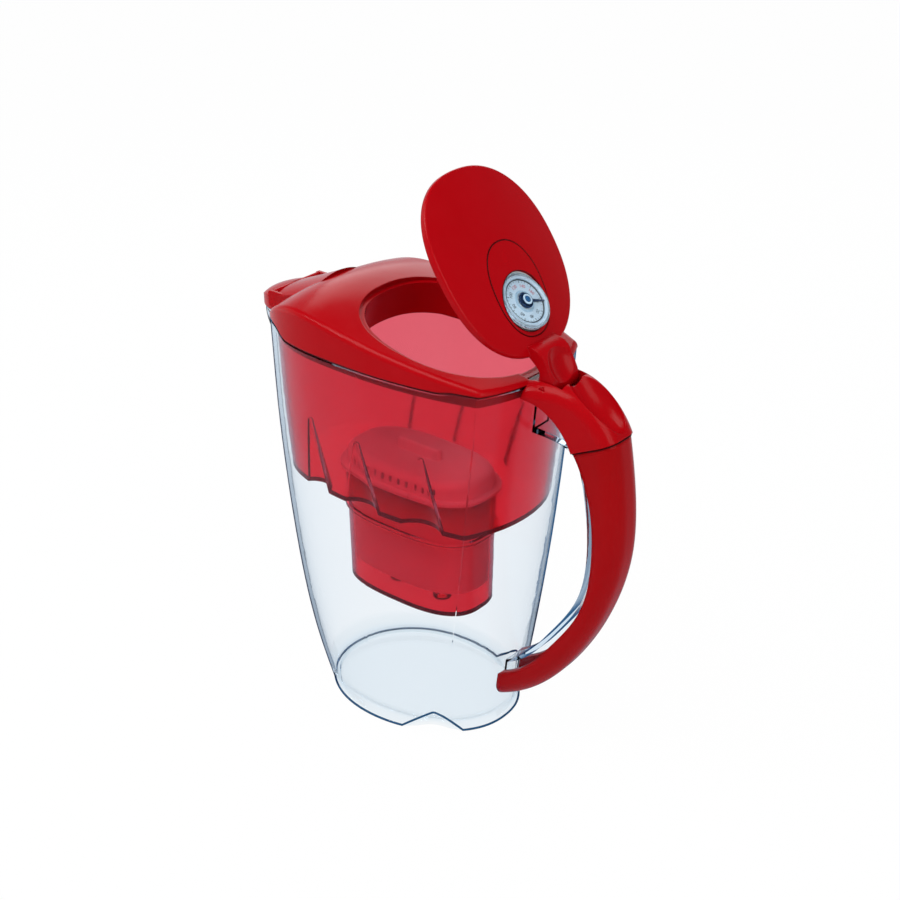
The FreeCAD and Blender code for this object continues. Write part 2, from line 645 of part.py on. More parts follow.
def make_cartridge():
    """Cartridge in the well: its cup, lining, cap and seal all follow the well's size."""
    pieces = {}
    seat = FUNNEL_FLOOR + SEAT_DEPTH + REST_GAP
    long, wide = WELL_LONG - WELL_WALL - CUP_GAP, WELL_WIDE - WELL_WALL - CUP_GAP

    def cup(low, high, inset):
        return loft([
            superellipse(long - CUP_TAPER - inset, wide - CUP_TAPER / 2 - inset, WELL_POWER, WELL_X, low),
            superellipse(long - inset, wide - inset, WELL_POWER, WELL_X, high),
        ])

    flange_top = seat + CUP_FLANGE
    flange = oval(WELL_LONG + 2.8, WELL_WIDE + 2.8, seat, flange_top)
    body = cup(CUP_BOTTOM, flange_top, 0.0).fuse(flange).cut(cup(CUP_BOTTOM + 2.0, seat + 9, CUP_WALL))
    drains = [
        box(WELL_X + x - 1.0, WELL_X + x + 1.0, -14, 14, CUP_BOTTOM - 6, CUP_BOTTOM + 4) for x in range(-32, 33, 8)
    ]
    pieces["cartridge_body"] = body.cut(drains)
    lining = CUP_WALL + CUP_TAPER + 0.6
    levels = (CUP_BOTTOM + 2.0, CUP_BOTTOM + 3.0, FUNNEL_FLOOR - 7.0, FUNNEL_FLOOR - 6.0)
    for name, low, high in zip(("lower_screen", "filter_media", "upper_screen"), levels, levels[1:]):
        pieces[name] = oval(long - lining, wide - lining, low, high)
    top = flange_top + CAP_HEIGHT
    cap = oval(WELL_LONG - 1.4, WELL_WIDE - 1.1, flange_top, top)
    cap = soft(cap, 6.0, [e for e in cap.Edges if e.CenterOfMass.z > top - 1])
    room = oval(WELL_LONG - 3.4, WELL_WIDE - 3.1, flange_top - 1, top - 2.0)
    room = soft(room, 4.5, [e for e in room.Edges if e.CenterOfMass.z > top - 3])
    grip = box(WELL_X - 16, WELL_X + 16, -2.2, 2.2, top - 1.0, top + 7)
    grip = soft(grip, 1.5, grip.Edges)
    slots = [
        box(WELL_X + x - 1.0, WELL_X + x + 1.0, -90, 90, flange_top + 2.5, flange_top + 6.5)
        for x in range(-30, 31, 6)
    ]
    pieces["cartridge_cap"] = cap.cut(room).cut(slots).fuse(grip)
    lip = loft([
        superellipse(long + 0.2, wide + 0.2, WELL_POWER, WELL_X, FUNNEL_FLOOR - 5),
        superellipse(long + 0.5, wide + 0.5, WELL_POWER, WELL_X, FUNNEL_FLOOR - 2),
    ])
    pieces["cartridge_seal"] = lip.cut(cup(CUP_BOTTOM, flange_top, 0.0))
    return pieces


parts = {}
jug, jug_outer = make_jug()
parts["jug_body"] = jug
parts["handle_cover"] = make_cover(jug_outer)
parts["funnel"] = make_well(make_funnel())
parts["lid_frame"] = make_lid()
parts["spout_flap"] = make_spout_flap()
for name, shape in make_cartridge().items():
    parts[name] = shape
parts["flip_lid"] = hinged(make_flip_lid(), OPEN_ANGLE)
for name, shape in make_counter().items():
    parts[name] = hinged(shape, OPEN_ANGLE)

os.makedirs("parts", exist_ok=True)
for name, shape in parts.items():
    shape.exportStep("parts/%s.step" % name)
    limits = shape.optimalBoundingBox()
    print(name, shape.isValid(), len(shape.Solids), limits)
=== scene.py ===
"""Looks of a water filter pitcher: a clear oval jug with a red tinted hopper, a red lid with a raised
fill flap and a counter dial, a spout flap and a two-piece loop handle. Lengths are in metres, and on
the dial in millimetres."""
import json
import math

import bmesh
import bpy
from mathutils import Matrix, Vector


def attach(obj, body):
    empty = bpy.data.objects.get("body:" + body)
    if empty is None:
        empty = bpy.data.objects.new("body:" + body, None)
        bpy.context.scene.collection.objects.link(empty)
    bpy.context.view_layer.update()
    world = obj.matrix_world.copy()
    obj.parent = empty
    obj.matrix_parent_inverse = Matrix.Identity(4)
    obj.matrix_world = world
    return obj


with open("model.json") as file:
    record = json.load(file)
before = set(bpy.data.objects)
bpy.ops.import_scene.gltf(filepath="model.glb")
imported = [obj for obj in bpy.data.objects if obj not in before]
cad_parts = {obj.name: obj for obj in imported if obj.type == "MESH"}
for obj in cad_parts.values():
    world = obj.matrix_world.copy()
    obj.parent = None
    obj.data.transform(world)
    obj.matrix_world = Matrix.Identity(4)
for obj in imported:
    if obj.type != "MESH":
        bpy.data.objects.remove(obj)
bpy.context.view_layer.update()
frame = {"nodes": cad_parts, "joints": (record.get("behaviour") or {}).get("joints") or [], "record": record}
joints = {joint["name"]: joint for joint in frame["joints"]}
slot_of_node = {row["node"]: row["material_slot"] for row in frame["record"]["subparts"]}
MM = 0.001


# Shader helpers

def new_material(name):
    material = bpy.data.materials.new(name)
    material.use_nodes = True
    tree = material.node_tree
    tree.nodes.clear()
    output = tree.nodes.new("ShaderNodeOutputMaterial")
    shader = tree.nodes.new("ShaderNodeBsdfPrincipled")
    tree.links.new(shader.outputs["BSDF"], output.inputs["Surface"])
    return material, tree, shader


def object_coordinates(tree):
    return tree.nodes.new("ShaderNodeTexCoord").outputs["Object"]


def noise(tree, scale, detail=3.0, roughness=0.5, stretch=(1, 1, 1)):
    mapping = tree.nodes.new("ShaderNodeMapping")
    mapping.inputs["Scale"].default_value = stretch
    tree.links.new(object_coordinates(tree), mapping.inputs["Vector"])
    texture = tree.nodes.new("ShaderNodeTexNoise")
    texture.inputs["Scale"].default_value = scale
    texture.inputs["Detail"].default_value = detail
    texture.inputs["Roughness"].default_value = roughness
    tree.links.new(mapping.outputs["Vector"], texture.inputs["Vector"])
    return texture.outputs["Fac"]


def spread(tree, value, low, high, start=0.3, end=0.7):
    """Turns a value that runs from start to end into one that runs from low to high."""
    node = tree.nodes.new("ShaderNodeMapRange")
    node.inputs["From Min"].default_value = start
    node.inputs["From Max"].default_value = end
    node.inputs["To Min"].default_value = low
    node.inputs["To Max"].default_value = high
    tree.links.new(value, node.inputs["Value"])
    return node.outputs["Result"]


def blend_colours(tree, factor, first, second):
    """Mixes two colours, each given as a tuple or as the output of a node."""
    node = tree.nodes.new("ShaderNodeMix")
    node.data_type = "RGBA"
    for letter, colour in (("A", first), ("B", second)):
        if isinstance(colour, tuple):
            node.inputs[letter].default_value = (*colour, 1)
        else:
            tree.links.new(colour, node.inputs[letter])
    tree.links.new(factor, node.inputs["Factor"])
    return node.outputs["Result"]


def combine(tree, operation, first, second):
    """Result of a sum with two values, each given as a number or as the output of a node."""
    node = tree.nodes.new("ShaderNodeMath")
    node.operation = operation
    for socket, value in zip(node.inputs, (first, second)):
        if isinstance(value, (int, float)):
            socket.default_value = value
        else:
            tree.links.new(value, socket)
    return node.outputs["Value"]


def vary_colour(tree, shader, pattern, first, second):
    tree.links.new(blend_colours(tree, pattern, first, second), shader.inputs["Base Color"])


def vary_roughness(tree, shader, pattern, low, high):
    tree.links.new(spread(tree, pattern, low, high), shader.inputs["Roughness"])


def raise_surface(tree, shader, height, distance, strength=1.0):
    bump = tree.nodes.new("ShaderNodeBump")
    bump.inputs["Distance"].default_value = distance
    bump.inputs["Strength"].default_value = strength
    tree.links.new(height, bump.inputs["Height"])
    tree.links.new(bump.outputs["Normal"], shader.inputs["Normal"])
    return bump


def let_through(tree, share, tint):
    """Lays a tinted see-through layer over the surface by its share."""
    surface = tree.nodes["Material Output"].inputs["Surface"]
    passing = tree.nodes.new("ShaderNodeBsdfTransparent")
    passing.inputs["Color"].default_value = (*tint, 1)
    mix = tree.nodes.new("ShaderNodeMixShader")
    tree.links.new(share, mix.inputs["Fac"])
    tree.links.new(surface.links[0].from_socket, mix.inputs[1])
    tree.links.new(passing.outputs["BSDF"], mix.inputs[2])
    tree.links.new(mix.outputs["Shader"], surface)


def let_lamps_through(tree, tint):
    """Rays towards the lamps pass straight through, so that what stands behind the wall is lit."""
    path = tree.nodes.new("ShaderNodeLightPath")
    let_through(tree, path.outputs["Is Shadow Ray"], tint)


# Finishes

CLEAR_COLOUR = (0.99, 0.995, 1.0)
CLEAR_REFRACTION = 1.18
CLEAR_DEPTH_COLOUR = (0.30, 0.58, 0.80)
CLEAR_DENSITY = 28
CLEAR_LAMP_TINT = (0.95, 0.97, 0.98)
CALM_FOOT_SHARE = 0.92
CALM_FOOT_HEIGHT = 0.009
CALM_FOOT_END = 0.014
CALM_FOOT_TINT = (0.949, 0.964, 0.972)
# Navy tint of the clear wall where it is seen edge on: a painted dark reflection
EDGE_ON_REFLECTION_START = 0.82
EDGE_ON_REFLECTION_FULL = 0.90
PAINTED_EDGE_REFLECTION_TINT = (0.03, 0.12, 0.25)
HOPPER_DEEP = (0.81, 0.115, 0.155)
HOPPER_BRIGHT = (0.84, 0.15, 0.19)
HOPPER_REFRACTION = 1.22
HOPPER_CLARITY = 0.97
HOPPER_LAMP_TINT = (0.97, 0.50, 0.55)
MOULDED_REFRACTION = 1.5
MOULDED_SHEEN = 0.11
MOULDED_WEAR = 0.06
EDGE_SAMPLES = 6
PALE_WEAR = 0.15
GRANULES_PER_METRE = 900
THREADS_PER_METRE = 280
WINDOW_TINT = (0.96, 0.98, 0.99)
WINDOW_REFRACTION = 1.4


def clear_plastic():
    """Clear wall with navy rims painted where it is seen edge on, a painted dark reflection, and a calmer
    view through its thick foot.
    """
    material, tree, shader = new_material("clear_jug_plastic")
    shader.inputs["Base Color"].default_value = (*CLEAR_COLOUR, 1)
    shader.inputs["Transmission Weight"].default_value = 1.0
    shader.inputs["IOR"].default_value = CLEAR_REFRACTION
    depth = tree.nodes.new("ShaderNodeVolumeAbsorption")
    depth.inputs["Color"].default_value = (*CLEAR_DEPTH_COLOUR, 1)
    depth.inputs["Density"].default_value = CLEAR_DENSITY
    tree.links.new(depth.outputs["Volume"], tree.nodes["Material Output"].inputs["Volume"])
    vary_roughness(tree, shader, noise(tree, 60, detail=6, roughness=0.62), 0.006, 0.035)
    raise_surface(tree, shader, noise(tree, 45, detail=1), distance=0.00002, strength=0.5)
    slant = tree.nodes.new("ShaderNodeLayerWeight")
    slant.inputs["Blend"].default_value = 0.5
    place = tree.nodes.new("ShaderNodeSeparateXYZ")
    tree.links.new(object_coordinates(tree), place.inputs["Vector"])
    calm = spread(tree, place.outputs["Z"], CALM_FOOT_SHARE, 0, CALM_FOOT_HEIGHT, CALM_FOOT_END)
    let_through(tree, calm, CALM_FOOT_TINT)
    # Navy layer where the wall is seen edge on: a painted dark reflection at the jug's edges
    let_through(tree, spread(tree, slant.outputs["Facing"], 0, 1, EDGE_ON_REFLECTION_START, EDGE_ON_REFLECTION_FULL), PAINTED_EDGE_REFLECTION_TINT)
    let_lamps_through(tree, CLEAR_LAMP_TINT)
    return material


def tinted_plastic():
    material, tree, shader = new_material("tinted_hopper_plastic")
    flow = noise(tree, 26, detail=3, stretch=(1, 1, 0.4))
    vary_colour(tree, shader, flow, HOPPER_DEEP, HOPPER_BRIGHT)
    shader.inputs["Transmission Weight"].default_value = HOPPER_CLARITY
    shader.inputs["IOR"].default_value = HOPPER_REFRACTION
    vary_roughness(tree, shader, noise(tree, 80, detail=5), 0.06, 0.14)
    raise_surface(tree, shader, noise(tree, 60, detail=2), distance=0.00002, strength=0.5)
    let_lamps_through(tree, HOPPER_LAMP_TINT)
    return material


def moulded_plastic(name, deep, bright, gloss, edge_round=0):
    """Opaque plastic with faint flow marks, and softly rounded edges where a radius is given."""
    material, tree, shader = new_material(name)
    vary_colour(tree, shader, noise(tree, 22, detail=4, roughness=0.55), deep, bright)
    wear = noise(tree, 90, detail=5, roughness=0.6)
    vary_roughness(tree, shader, wear, gloss, gloss + MOULDED_WEAR)
    shader.inputs["IOR"].default_value = MOULDED_REFRACTION
    shader.inputs["Specular IOR Level"].default_value = MOULDED_SHEEN
    bump = raise_surface(tree, shader, noise(tree, 420, detail=1), distance=0.00001, strength=0.2)
    if edge_round:
        soft_edge = tree.nodes.new("ShaderNodeBevel")
        soft_edge.samples = EDGE_SAMPLES
        soft_edge.inputs["Radius"].default_value = edge_round
        tree.links.new(soft_edge.outputs["Normal"], bump.inputs["Normal"])
    return material


def pale_plastic(name, colour, shade, gloss):
    material, tree, shader = new_material(name)
    vary_colour(tree, shader, noise(tree, 60, detail=5), colour, shade)
    vary_roughness(tree, shader, noise(tree, 200, detail=4), gloss, gloss + PALE_WEAR)
    raise_surface(tree, shader, noise(tree, 900, detail=2), distance=0.00006, strength=0.5)
    return material


def filter_granules():
    material, tree, shader = new_material("filter_granules")
    cells = tree.nodes.new("ShaderNodeTexVoronoi")
    cells.inputs["Scale"].default_value = GRANULES_PER_METRE
    tree.links.new(object_coordinates(tree), cells.inputs["Vector"])
    # Each granule is lighter in its middle and darker towards its edges: painted shade between the granules
    vary_colour(tree, shader, cells.outputs["Distance"], (0.16, 0.15, 0.14), (0.015, 0.015, 0.016))
    shader.inputs["Roughness"].default_value = 0.7
    raise_surface(tree, shader, cells.outputs["Distance"], distance=-0.0006)
    return material


def woven_screen():
    material, tree, shader = new_material("woven_screen")
    threads = []
    for turn in (math.radians(45), math.radians(-45)):
        mapping = tree.nodes.new("ShaderNodeMapping")
        mapping.inputs["Rotation"].default_value = (0, 0, turn)
        tree.links.new(object_coordinates(tree), mapping.inputs["Vector"])
        wave = tree.nodes.new("ShaderNodeTexWave")
        wave.inputs["Scale"].default_value = THREADS_PER_METRE
        tree.links.new(mapping.outputs["Vector"], wave.inputs["Vector"])
        threads.append(wave.outputs["Fac"])
    weave = combine(tree, "MAXIMUM", *threads)
    vary_colour(tree, shader, weave, (0.35, 0.35, 0.34), (0.80, 0.80, 0.78))
    shader.inputs["Roughness"].default_value = 0.75
    raise_surface(tree, shader, weave, distance=0.0003)
    return material


def dial_glass():
    material, tree, shader = new_material("dial_window")
    shader.inputs["Base Color"].default_value = (*WINDOW_TINT, 1)
    shader.inputs["Transmission Weight"].default_value = 1.0
    shader.inputs["IOR"].default_value = WINDOW_REFRACTION
    vary_roughness(tree, shader, noise(tree, 300, detail=5), 0.01, 0.05)
    let_lamps_through(tree, WINDOW_TINT)
    return material


def dial_paper():
    material, tree, shader = new_material("dial_face_print")
    fibre = noise(tree, 700, detail=4)
    vary_colour(tree, shader, fibre, (0.50, 0.62, 0.71), (0.55, 0.67, 0.75))
    vary_roughness(tree, shader, fibre, 0.38, 0.52)
    raise_surface(tree, shader, fibre, distance=0.00003, strength=0.4)
    return material


LID_REDS = (0.36, 0.0005, 0.0020), (0.41, 0.0012, 0.0050)
HANDLE_REDS = (0.31, 0.0004, 0.0012), (0.35, 0.0008, 0.0025)
CARTRIDGE_WHITES = (0.86, 0.86, 0.85), (0.78, 0.78, 0.77)
SEAL_GREYS = (0.76, 0.76, 0.75), (0.66, 0.66, 0.65)
POINTER_BLUES = (0.008, 0.020, 0.055), (0.014, 0.030, 0.075)
WORKS_WHITES = (0.72, 0.72, 0.71), (0.64, 0.64, 0.63)
FINISHES = {
    "clear": clear_plastic(),
    "funnel_red": tinted_plastic(),
    "lid_red": moulded_plastic("glossy_lid_red", *LID_REDS, gloss=0.17, edge_round=0.001),
    "handle_red": moulded_plastic("satin_handle_red", *HANDLE_REDS, gloss=0.20, edge_round=0.004),
    "cartridge_white": pale_plastic("cartridge_white_plastic", *CARTRIDGE_WHITES, gloss=0.42),
    "seal": pale_plastic("seal_rubber", *SEAL_GREYS, gloss=0.62),
    "media": filter_granules(),
    "screen": woven_screen(),
    "dial_face": dial_paper(),
    "dial_lens": dial_glass(),
    "pointer_dark": moulded_plastic("pointer_dark_blue", *POINTER_BLUES, gloss=0.15),
    "works": pale_plastic("works_white_plastic", *WORKS_WHITES, gloss=0.4),
}


# Moulded pieces keep their solids and get their finishes

for node, solid in frame["nodes"].items():
    solid.data.materials.clear()
    solid.data.materials.append(FINISHES[slot_of_node[node]])


# Making of new pieces

def add_piece(name, mesh, body, material, place=None):
    """Piece with its place in its mesh, on a body, with a finish."""
    piece = bpy.data.objects.new(name, mesh)
    bpy.context.scene.collection.objects.link(piece)
    if place is not None:
        mesh.transform(place)
    mesh.materials.clear()
    mesh.materials.append(material)
    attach(piece, body)
    return piece


def grow_nodes(name, tree, values, start=None):
    """Mesh that a node tree makes from its named sizes, and from a start mesh where it has one."""
    if start is None:
        start = bpy.data.meshes.new(name + "_nodes")
    holder = bpy.data.objects.new(name + "_nodes", start)
    bpy.context.scene.collection.objects.link(holder)
    modifier = holder.modifiers.new(name, "NODES")
    modifier.node_group = tree
    for socket in tree.interface.items_tree:
        if socket.in_out == "INPUT" and socket.name in values:
            modifier[socket.identifier] = values[socket.name]
    graph = bpy.context.evaluated_depsgraph_get()
    mesh = bpy.data.meshes.new_from_object(holder.evaluated_get(graph))
    mesh.name = name
    holder.modifiers.remove(modifier)
    bpy.data.objects.remove(holder)
    return mesh


def end_tree(tree, shape, material):
    """Ends a geometry tree: real meshes, in one material."""
    real = tree.nodes.new("GeometryNodeRealizeInstances")
    paint = tree.nodes.new("GeometryNodeSetMaterial")
    paint.inputs["Material"].default_value = material
    output = tree.nodes.new("NodeGroupOutput")
    tree.links.new(shape, real.inputs["Geometry"])
    tree.links.new(real.outputs["Geometry"], paint.inputs["Geometry"])
    tree.links.new(paint.outputs["Geometry"], output.inputs["Geometry"])


# Counter dial: print, bezel and hub, in millimetres from the middle of the dial

FACE = -1.4
PRINT_LIFT = 0.05
PRINT_DEPTH = 0.02
FINE_TICKS = {"Count": 36, "Radius": 11.6, "Length": 0.9, "Width": 0.16, "Height": 0.04}
COARSE_TICKS = {"Count": 9, "Radius": 11.4, "Length": 1.4, "Width": 0.32, "Height": 0.05}
NUMBER_COUNT = 9
NUMBER_STEP = 20
FIRST_RED = 6
FIRST_ANGLE = 70
ANGLE_STEP = 40
NUMBER_RADIUS = 9.0
NUMBER_HEIGHT = 2.7
LATHE_STEPS = 72
CREASE_ANGLE = math.radians(35)
DIAL_MERGE = 1e-5


def dial_frame():
    """Place of the dial: X towards the hinge, Y across, Z out of the face, in millimetres."""
    axis = Vector(joints["counter_turn"]["axis"]).normalized()
    across = Vector((0, 1, 0))
    along = across.cross(axis)
    turn = Matrix((along, across, axis)).transposed().to_4x4()
    return Matrix.Translation(joints["counter_turn"]["pos_m"]) @ turn @ Matrix.Scale(MM, 4)


DIAL = dial_frame()


def lathe(name, profile):
    """Mesh turned about Z from a closed loop of (radius, height) points, crisp at sharp corners."""
    work = bmesh.new()
    rings = []
    for radius, height in profile:
        ring = []
        for i in range(LATHE_STEPS):
            turn = 2 * math.pi * i / LATHE_STEPS
            ring.append(work.verts.new((radius * math.cos(turn), radius * math.sin(turn), height)))
        rings.append(ring)
    for low, high in zip(rings, rings[1:] + rings[:1]):
        for i in range(LATHE_STEPS):
            k = (i + 1) % LATHE_STEPS
            work.faces.new((low[i], low[k], high[k], high[i]))
    bmesh.ops.remove_doubles(work, verts=work.verts, dist=DIAL_MERGE)
    bmesh.ops.recalc_face_normals(work, faces=work.faces)
    mesh = bpy.data.meshes.new(name)
    work.to_mesh(mesh)
    work.free()
    mesh.shade_smooth()
    mesh.set_sharp_from_angle(angle=CREASE_ANGLE)
    return mesh


def ring_of_ticks(material):
    """Tree of flat ticks on a circle, each pointing outwards."""
    tree = bpy.data.node_groups.new("ring_of_ticks", "GeometryNodeTree")
    tree.interface.new_socket("Count", in_out="INPUT", socket_type="NodeSocketInt")
    for name in ("Radius", "Length", "Width", "Height"):
        tree.interface.new_socket(name, in_out="INPUT", socket_type="NodeSocketFloat")
    tree.interface.new_socket("Geometry", in_out="OUTPUT", socket_type="NodeSocketGeometry")
    given = tree.nodes.new("NodeGroupInput")
    circle = tree.nodes.new("GeometryNodeMeshCircle")
    size = tree.nodes.new("ShaderNodeCombineXYZ")
    tick = tree.nodes.new("GeometryNodeMeshCube")
    aim = tree.nodes.new("FunctionNodeAlignRotationToVector")
    aim.axis = "X"
    spot = tree.nodes.new("GeometryNodeInputPosition")
    copies = tree.nodes.new("GeometryNodeInstanceOnPoints")
    link = tree.links.new
    link(given.outputs["Count"], circle.inputs["Vertices"])
    link(given.outputs["Radius"], circle.inputs["Radius"])
    for name, axis in (("Length", "X"), ("Width", "Y"), ("Height", "Z")):
        link(given.outputs[name], size.inputs[axis])
    link(size.outputs["Vector"], tick.inputs["Size"])
    link(spot.outputs["Position"], aim.inputs["Vector"])
    link(circle.outputs["Mesh"], copies.inputs["Points"])
    link(tick.outputs["Mesh"], copies.inputs["Instance"])
    link(aim.outputs["Rotation"], copies.inputs["Rotation"])
    end_tree(tree, copies.outputs["Instances"], material)
    return tree


def dial_numbers(name, values, angles):
    """Plain numbers round the dial, feet towards the middle, as one thin mesh."""
    work = bmesh.new()
    for value, angle in zip(values, angles):
        text = bpy.data.curves.new(name, "FONT")
        text.body = str(value)
        text.size = NUMBER_HEIGHT
        text.align_x = "CENTER"
        text.align_y = "CENTER"
        text.extrude = PRINT_DEPTH
        holder = bpy.data.objects.new(name, text)
        bpy.context.scene.collection.objects.link(holder)
        graph = bpy.context.evaluated_depsgraph_get()
        letters = bpy.data.meshes.new_from_object(holder.evaluated_get(graph))
        turn = math.radians(angle)
        x = NUMBER_RADIUS * math.cos(turn)
        y = NUMBER_RADIUS * math.sin(turn)
        spot = Matrix.Translation((x, y, FACE + PRINT_LIFT))
        letters.transform(spot @ Matrix.Rotation(turn - math.pi / 2, 4, "Z"))
        work.from_mesh(letters)
        bpy.data.objects.remove(holder)
        bpy.data.meshes.remove(letters)
    bmesh.ops.remove_doubles(work, verts=work.verts, dist=DIAL_MERGE)
    mesh = bpy.data.meshes.new(name)
    work.to_mesh(mesh)
    work.free()
    return mesh


def ink(name, colour):
    return pale_plastic(name, colour, tuple(0.8 * c for c in colour), gloss=0.45)


def dial_rings(bezel_plastic, black_ink):
    """Turned pieces of the dial: name, (radius, height) profile, body, slot and finish."""
    # Darker blue ring round the hub: painted shade round the hub
    shade = pale_plastic("dial_middle_painted_shade", (0.33, 0.48, 0.60), (0.38, 0.53, 0.65), gloss=0.4)
    knob = moulded_plastic("hub_blue", (0.02, 0.09, 0.22), (0.03, 0.12, 0.28), gloss=0.18)
    dark = FINISHES["pointer_dark"]
    bezel = [(13.0, FACE), (13.1, -0.7), (13.5, -0.3), (14.7, 0.2), (15.0, -0.1), (15.0, FACE)]
    gasket = [(12.3, FACE), (12.3, -1.1), (12.8, -1.1), (12.8, FACE)]
    middle = [(5.2, FACE), (5.2, -1.2), (6.3, -1.2), (6.5, FACE)]
    ring = [(3.45, -0.6), (3.45, 0.1), (3.8, 0.35), (4.3, 0.3), (4.6, -0.05), (4.6, -0.6)]
    pale = [(1.9, 1.2), (1.9, 1.4), (2.9, 1.4), (3.0, 1.2)]
    dome = [(0.001, 1.95), (0.8, 1.9), (1.4, 1.7), (1.7, 1.2), (0.001, 1.2)]
    return (
        ("dial_bezel", bezel, "flip", "dial_face", bezel_plastic),
        ("dial_gasket", gasket, "flip", "dial_face", black_ink),
        ("dial_middle", middle, "flip", "dial_face", shade),
        ("hub_ring", ring, "counter", "pointer_dark", dark),
        ("hub_pale_ring", pale, "counter", "pointer_dark", bezel_plastic),
        ("hub_knob", dome, "counter", "pointer_dark", knob),
    )


def dress_dial():
    black_ink = ink("black_ink", (0.02, 0.025, 0.035))
    red_ink = ink("red_ink", (0.55, 0.02, 0.03))
    bezel_plastic = pale_plastic("bezel_plastic", (0.56, 0.70, 0.80), (0.48, 0.62, 0.73), gloss=0.18)
    ticks = ring_of_ticks(black_ink)
    on_face = DIAL @ Matrix.Translation((0, 0, FACE + PRINT_LIFT))
    for name, sizes in (("dial_fine_ticks", FINE_TICKS), ("dial_coarse_ticks", COARSE_TICKS)):
        add_piece(name, grow_nodes(name, ticks, sizes), "flip", black_ink, on_face)
    numbers = [NUMBER_STEP * i for i in range(NUMBER_COUNT)]
    angles = [FIRST_ANGLE - ANGLE_STEP * i for i in range(NUMBER_COUNT)]
    black = dial_numbers("dial_black_numbers", numbers[:FIRST_RED], angles[:FIRST_RED])
    add_piece("dial_black_numbers", black, "flip", black_ink, DIAL)
    red = dial_numbers("dial_red_numbers", numbers[FIRST_RED:], angles[FIRST_RED:])
    add_piece("dial_red_numbers", red, "flip", red_ink, DIAL)
    for name, profile, body, slot, material in dial_rings(bezel_plastic, black_ink):
        add_piece(name, lathe(name, profile), body, material, DIAL)


dress_dial()


# Thin beads: a painted dark edge line along the lower edge of the clear foot, seam of the handle cover, rim
# of the dial's plate

EDGE_ANGLE = math.radians(16)
EDGE_MERGE = 1e-6
BEAD_SIDES = 8
FOOT_TOP = 0.020
FOOT_MIDDLE_X = 0.009
FOOT_LENGTHENING = 2
WALL_FACING = 0.865
STEEP_SHARE = 0.8
NOTCH_START = 0.039
NOTCH_END = 0.051
NOTCH_SILL = 0.004
# Size of the painted dark edge line along the clear foot
FOOT_EDGE_LINE_RADIUS = 0.0007
FOOT_EDGE_LINE_LIFT = 1.1 * FOOT_EDGE_LINE_RADIUS
SEAM_POINT = Vector((0.1468, 0, 0.2159))
SEAM_NORMAL = Vector((-0.4225, 0, 0.9064))
SEAM_REACH = 0.0012
SEAM_RADIUS = 0.00035
PLATE_FACING = 0.8
PLATE_SEAM_RADIUS = 0.00022


def on_foot_edge(line, middle):
    """Outer lower edge of the clear jug, and the arches of its notches."""
    outward = Vector((middle.x - FOOT_MIDDLE_X, FOOT_LENGTHENING * middle.y, 0)).normalized()
    walls = [face for face in line.link_faces if face.normal.dot(outward) > WALL_FACING]
    rise = abs(line.verts[0].co.z - line.verts[1].co.z)
    steep = rise > STEEP_SHARE * line.calc_length()
    notch_sill = NOTCH_START < middle.x < NOTCH_END and middle.z < NOTCH_SILL
    return middle.z < FOOT_TOP and walls and not steep and not notch_sill


def on_handle_seam(line, middle):
    """Upper end of the handle cover, where the lid's tail meets it."""
    return abs((middle - SEAM_POINT).dot(SEAM_NORMAL)) < SEAM_REACH


def on_plate_rim(line, middle):
    """Upper rim of the oval plate round the dial."""
    outward = DIAL.to_3x3().col[2].normalized()
    return max(face.normal.dot(outward) for face in line.link_faces) > PLATE_FACING


def sharp_edges(node, wanted, shift):
    """Sharp edges of a solid that are wanted, as a mesh of edges moved by a shift."""
    work = bmesh.new()
    work.from_mesh(frame["nodes"][node].data)
    bmesh.ops.remove_doubles(work, verts=work.verts, dist=EDGE_MERGE)
    points, lines, number = [], [], {}
    for line in work.edges:
        middle = (line.verts[0].co + line.verts[1].co) / 2
        if len(line.link_faces) != 2 or line.calc_face_angle() < EDGE_ANGLE:
            continue
        if not wanted(line, middle):
            continue
        for corner in line.verts:
            if corner.index not in number:
                number[corner.index] = len(points)
                points.append(corner.co + shift)
        lines.append([number[corner.index] for corner in line.verts])
    work.free()
    mesh = bpy.data.meshes.new(node + "_edges")
    mesh.from_pydata(points, lines, [])
    return mesh


def bead_on_path(material):
    """Tree of a round bead along the edges of a mesh."""
    tree = bpy.data.node_groups.new("bead_on_path", "GeometryNodeTree")
    tree.interface.new_socket("Geometry", in_out="INPUT", socket_type="NodeSocketGeometry")
    tree.interface.new_socket("Radius", in_out="INPUT", socket_type="NodeSocketFloat")
    tree.interface.new_socket("Geometry", in_out="OUTPUT", socket_type="NodeSocketGeometry")
    given = tree.nodes.new("NodeGroupInput")
    path = tree.nodes.new("GeometryNodeMeshToCurve")
    section = tree.nodes.new("GeometryNodeCurvePrimitiveCircle")
    section.inputs["Resolution"].default_value = BEAD_SIDES
    sweep = tree.nodes.new("GeometryNodeCurveToMesh")
    sweep.inputs["Fill Caps"].default_value = True
    link = tree.links.new
    link(given.outputs["Geometry"], path.inputs["Mesh"])
    link(given.outputs["Radius"], section.inputs["Radius"])
    link(path.outputs["Curve"], sweep.inputs["Curve"])
    link(section.outputs["Curve"], sweep.inputs["Profile Curve"])
    end_tree(tree, sweep.outputs["Mesh"], material)
    return tree


def lay_bead(name, edges, radius, body, material):
    """Round bead along a mesh of edges, as a piece on a body."""
    bead = grow_nodes(name, bead_on_path(material), {"Radius": radius}, edges)
    bead.shade_smooth()
    add_piece(name, bead, body, material)


